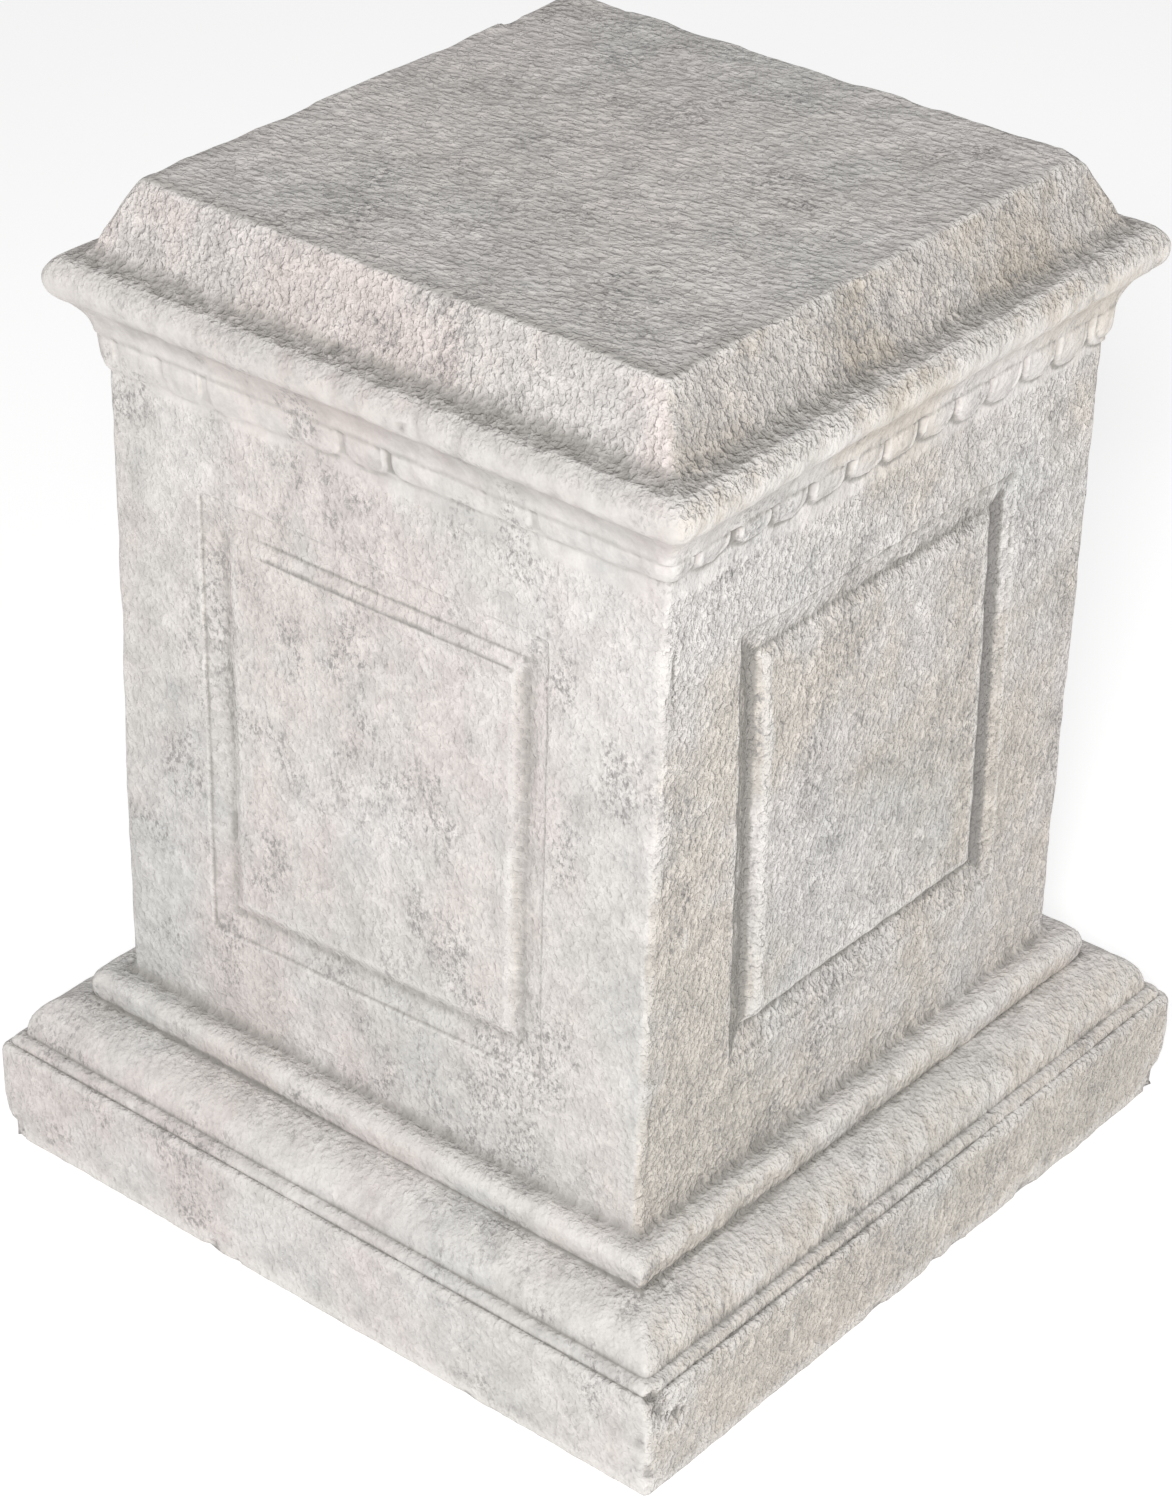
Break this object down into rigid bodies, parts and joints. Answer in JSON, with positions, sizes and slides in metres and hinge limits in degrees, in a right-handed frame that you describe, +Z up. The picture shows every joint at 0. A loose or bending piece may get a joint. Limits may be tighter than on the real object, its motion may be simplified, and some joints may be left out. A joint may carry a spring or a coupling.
{
  "type": "garden pedestal",
  "caption": "Square cast-stone garden pedestal with moulded plinth, panelled die, egg moulding and bevelled cornice; carries a statue or urn.",
  "frame": {"origin": "centre of the underside, at ground level", "axes": "+Z up through the middle of the platform; +X and +Y square to the panelled sides, which are alike"},
  "size_m": [0.38, 0.38, 0.47],
  "materials": {
    "cast_stone": "matt, weathered, grey wash in the hollows"
  },
  "bodies": {
    "root": {"pedestal": "cast_stone"}
  },
  "joints": []
}
